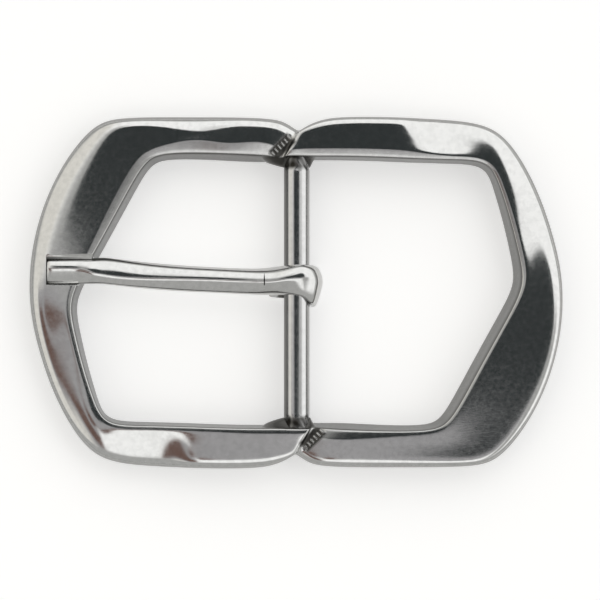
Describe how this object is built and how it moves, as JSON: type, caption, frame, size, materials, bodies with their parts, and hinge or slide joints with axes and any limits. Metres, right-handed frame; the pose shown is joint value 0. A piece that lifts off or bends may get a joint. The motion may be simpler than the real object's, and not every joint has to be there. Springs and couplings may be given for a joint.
{
  "type": "belt buckle",
  "caption": "Double-window centre-bar belt buckle: faceted cast frame with hooked lobe seams, and a round bar carrying a hinged tongue that rests in a groove at one end.",
  "frame": {"origin": "bottom centre of the bounding box: the back plane of the frame, under the middle of the bar", "axes": "+X along the strap, away from the tongue's tip; +Y along the bar; +Z out of the front face. The buckle lies on its back."},
  "size_m": [0.082, 0.054, 0.0066],
  "materials": {
    "frame_metal": "mirror-polished cast metal",
    "bar_metal": "polished round bar",
    "tongue_metal": "polished cast metal"
  },
  "bodies": {
    "frame_body": {"frame": "frame_metal", "centre_bar": "bar_metal"},
    "tongue_body": {"tongue": "tongue_metal"}
  },
  "joints": [
    {"name": "tongue_swing", "type": "hinge", "parent": "frame_body", "child": "tongue_body", "pos_m": [0, 0.00115, 0.0033], "axis": [0, 1, 0], "range_deg": [0, 171]}
  ]
}
